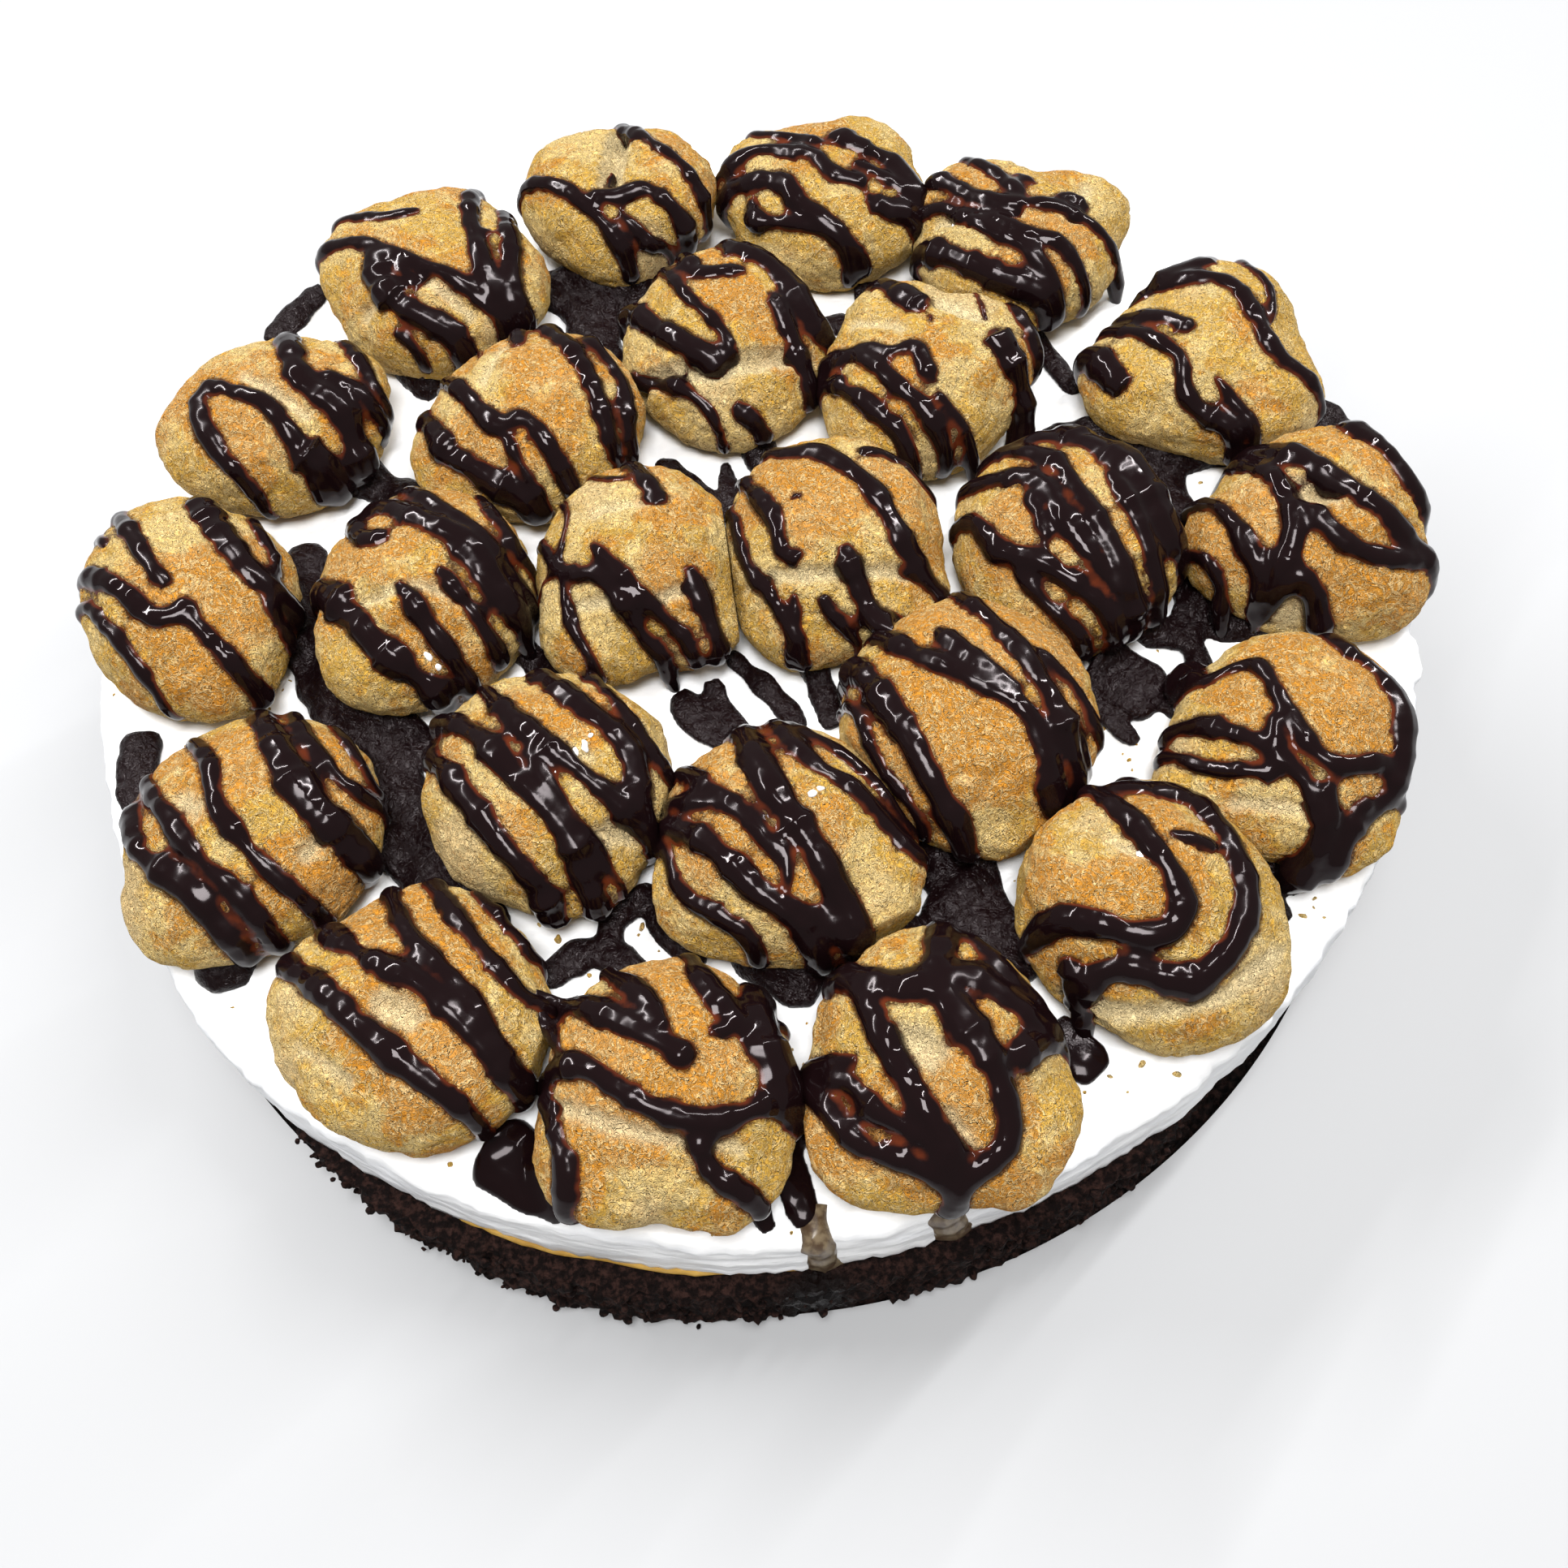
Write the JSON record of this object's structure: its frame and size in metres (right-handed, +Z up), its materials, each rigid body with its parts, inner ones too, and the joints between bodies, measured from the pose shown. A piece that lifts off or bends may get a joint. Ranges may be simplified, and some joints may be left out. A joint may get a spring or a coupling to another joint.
{
  "type": "profiterole tart",
  "caption": "Round layered cream tart on a dark sponge base, topped with choux buns and trails of chocolate drizzle.",
  "frame": {"origin": "the middle of the sponge's flat underside, where the tart rests", "axes": "+Z up through the layers; -Y towards the viewer of the picture, +X to the viewer's right"},
  "size_m": [0.2582, 0.259, 0.0646],
  "materials": {
    "choux": "dry golden choux crust, fine and fibrous",
    "chocolate": "set dark chocolate, glossy",
    "whipped_cream": "smooth soft whipped cream",
    "golden_layer": "moist golden layer",
    "chocolate_sponge": "dark crumbly chocolate sponge"
  },
  "bodies": {
    "root": {"sponge": "chocolate_sponge", "golden_layer": "golden_layer", "cream": "whipped_cream", "bun_01": "choux", "bun_02": "choux", "bun_03": "choux", "bun_04": "choux", "bun_05": "choux", "bun_06": "choux", "bun_07": "choux", "bun_08": "choux", "bun_09": "choux", "bun_10": "choux", "bun_11": "choux", "bun_12": "choux", "bun_13": "choux", "bun_14": "choux", "bun_15": "choux", "bun_16": "choux", "bun_17": "choux", "bun_18": "choux", "bun_19": "choux", "bun_20": "choux", "bun_21": "choux", "bun_22": "choux", "bun_23": "choux", "bun_24": "choux"}
  },
  "joints": []
}
